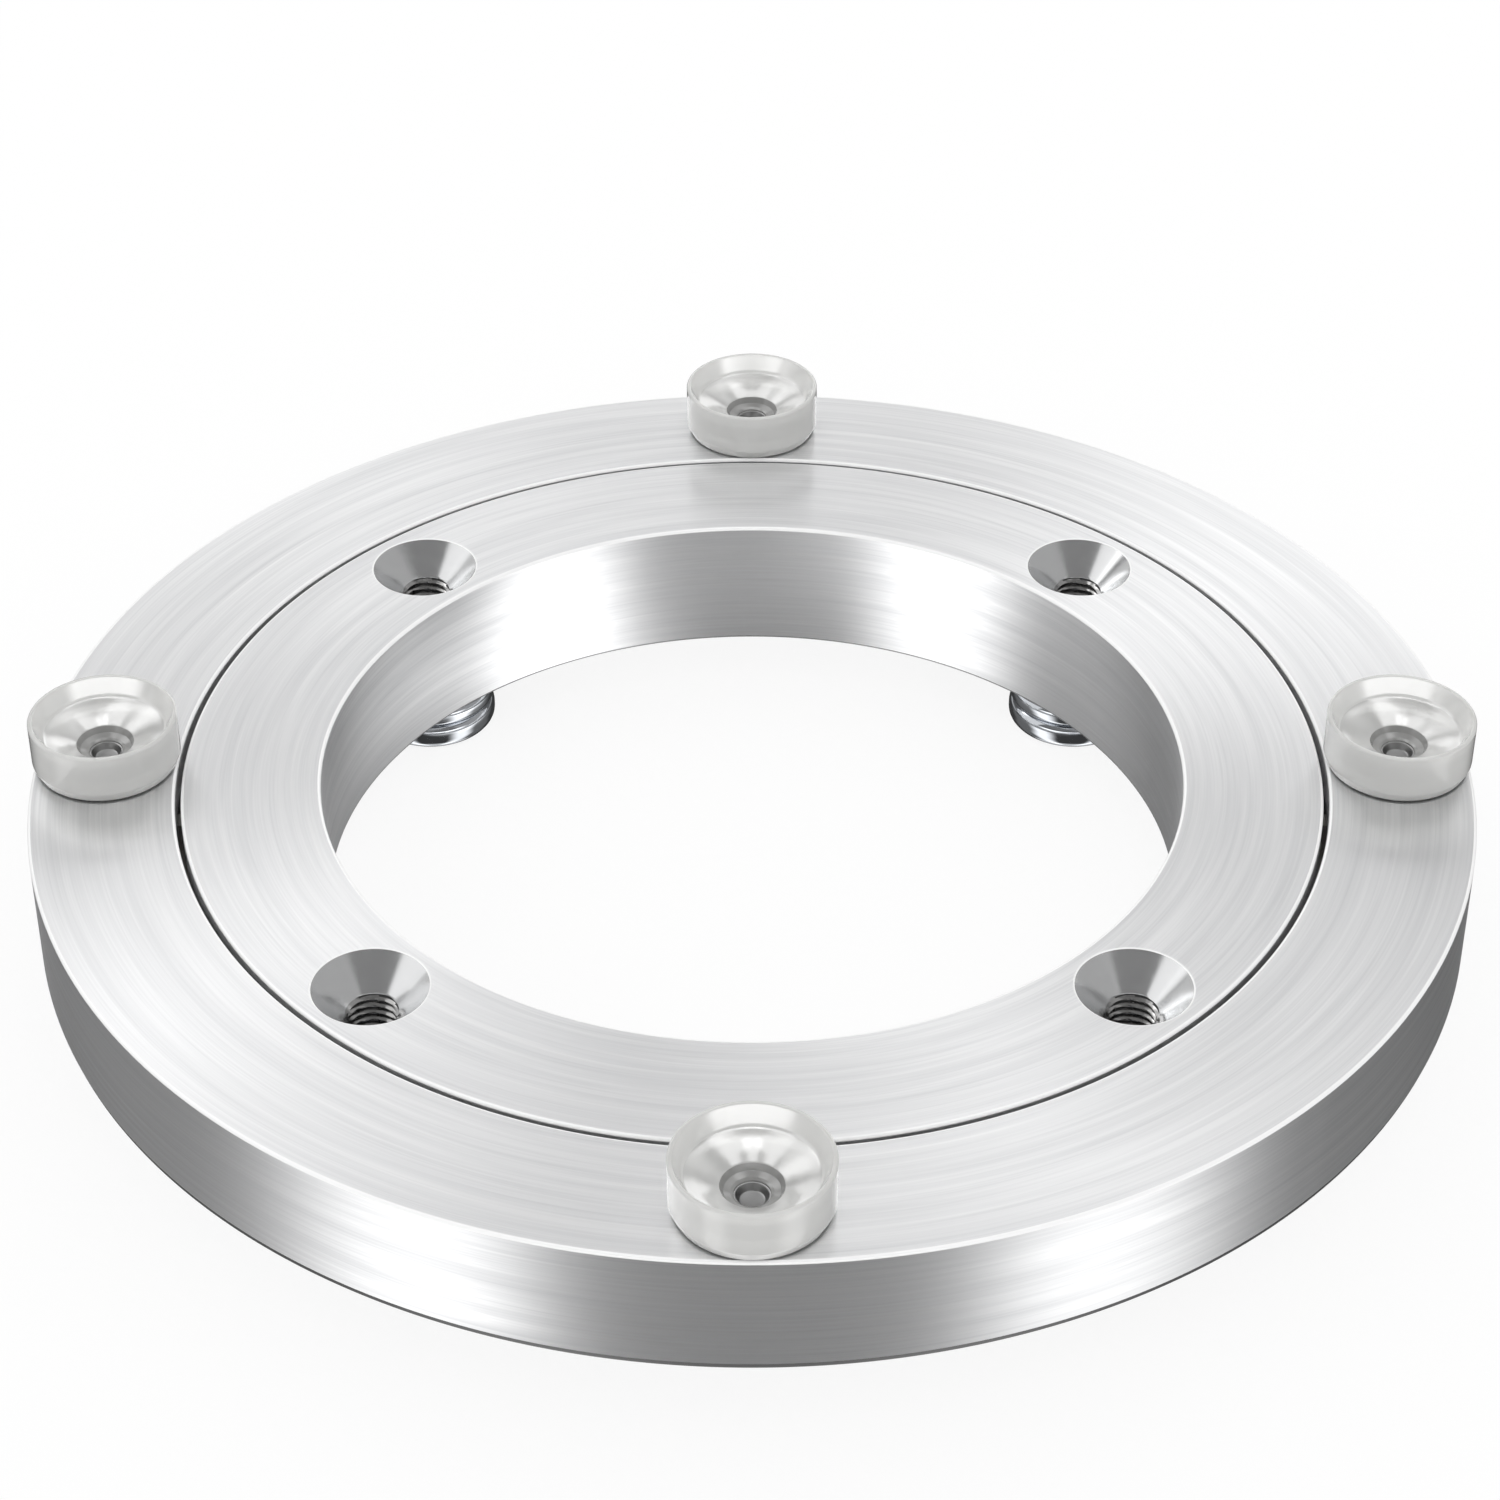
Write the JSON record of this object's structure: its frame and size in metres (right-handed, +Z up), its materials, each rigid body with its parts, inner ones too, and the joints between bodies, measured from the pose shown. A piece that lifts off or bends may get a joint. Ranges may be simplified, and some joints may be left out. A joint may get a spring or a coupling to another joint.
{
  "type": "lazy susan bearing",
  "caption": "Flat aluminium turntable bearing: an inner ring with countersunk holes and chromed feet, and an outer ring that turns round it and carries soft dished pads.",
  "frame": {"origin": "on the turning axis, in the plane that the feet stand on", "axes": "+Z up along the turning axis, +X through pad_1; the camera of the picture looks along +Y"},
  "size_m": [0.1404, 0.1404, 0.0245],
  "materials": {
    "ring_aluminium": "turned and brushed, fine concentric lines, bright chamfers",
    "ball_steel": "polished bearing steel",
    "cage_nylon": "natural nylon",
    "foot_chrome": "bright chrome plate on turned steel",
    "pad_silicone": "clear, slightly warm grey silicone, glossy",
    "stud_steel": "plain zinc-plated steel"
  },
  "bodies": {
    "base": {"inner_ring": "ring_aluminium", "foot_1": "foot_chrome", "foot_2": "foot_chrome", "foot_3": "foot_chrome", "foot_4": "foot_chrome"},
    "turntable": {"outer_ring": "ring_aluminium", "filler_plug": "stud_steel", "pad_1": "pad_silicone", "pad_2": "pad_silicone", "pad_3": "pad_silicone", "pad_4": "pad_silicone", "pad_stud_1": "stud_steel", "pad_stud_2": "stud_steel", "pad_stud_3": "stud_steel", "pad_stud_4": "stud_steel"},
    "ball_train": {"ball_cage": "cage_nylon"},
    "ball_1_body": {"ball_1": "ball_steel"},
    "ball_2_body": {"ball_2": "ball_steel"},
    "ball_3_body": {"ball_3": "ball_steel"},
    "ball_4_body": {"ball_4": "ball_steel"},
    "ball_5_body": {"ball_5": "ball_steel"},
    "ball_6_body": {"ball_6": "ball_steel"},
    "ball_7_body": {"ball_7": "ball_steel"},
    "ball_8_body": {"ball_8": "ball_steel"}
  },
  "joints": [
    {"name": "turntable_spin", "type": "hinge", "parent": "base", "child": "turntable", "pos_m": [0, 0, 0.013], "axis": [0, 0, 1], "continuous": true},
    {"name": "ball_train_spin", "type": "hinge", "parent": "base", "child": "ball_train", "pos_m": [0, 0, 0.013], "axis": [0, 0, 1], "continuous": true},
    {"name": "ball_1_roll", "type": "hinge", "parent": "ball_train", "child": "ball_1_body", "pos_m": [0.05572, 0, 0.013], "axis": [0, 0, 1], "continuous": true},
    {"name": "ball_2_roll", "type": "hinge", "parent": "ball_train", "child": "ball_2_body", "pos_m": [0.0394, 0.0394, 0.013], "axis": [0, 0, 1], "continuous": true},
    {"name": "ball_3_roll", "type": "hinge", "parent": "ball_train", "child": "ball_3_body", "pos_m": [0, 0.05572, 0.013], "axis": [0, 0, 1], "continuous": true},
    {"name": "ball_4_roll", "type": "hinge", "parent": "ball_train", "child": "ball_4_body", "pos_m": [-0.0394, 0.0394, 0.013], "axis": [0, 0, 1], "continuous": true},
    {"name": "ball_5_roll", "type": "hinge", "parent": "ball_train", "child": "ball_5_body", "pos_m": [-0.05572, 0, 0.013], "axis": [0, 0, 1], "continuous": true},
    {"name": "ball_6_roll", "type": "hinge", "parent": "ball_train", "child": "ball_6_body", "pos_m": [-0.0394, -0.0394, 0.013], "axis": [0, 0, 1], "continuous": true},
    {"name": "ball_7_roll", "type": "hinge", "parent": "ball_train", "child": "ball_7_body", "pos_m": [0, -0.05572, 0.013], "axis": [0, 0, 1], "continuous": true},
    {"name": "ball_8_roll", "type": "hinge", "parent": "ball_train", "child": "ball_8_body", "pos_m": [0.0394, -0.0394, 0.013], "axis": [0, 0, 1], "continuous": true}
  ],
  "couplings": [
    {"joint": "ball_train_spin", "follows": "turntable_spin", "ratio": 0.51586},
    {"joint": "ball_1_roll", "follows": "turntable_spin", "ratio": 15.746},
    {"joint": "ball_2_roll", "follows": "turntable_spin", "ratio": 15.746},
    {"joint": "ball_3_roll", "follows": "turntable_spin", "ratio": 15.746},
    {"joint": "ball_4_roll", "follows": "turntable_spin", "ratio": 15.746},
    {"joint": "ball_5_roll", "follows": "turntable_spin", "ratio": 15.746},
    {"joint": "ball_6_roll", "follows": "turntable_spin", "ratio": 15.746},
    {"joint": "ball_7_roll", "follows": "turntable_spin", "ratio": 15.746},
    {"joint": "ball_8_roll", "follows": "turntable_spin", "ratio": 15.746}
  ]
}
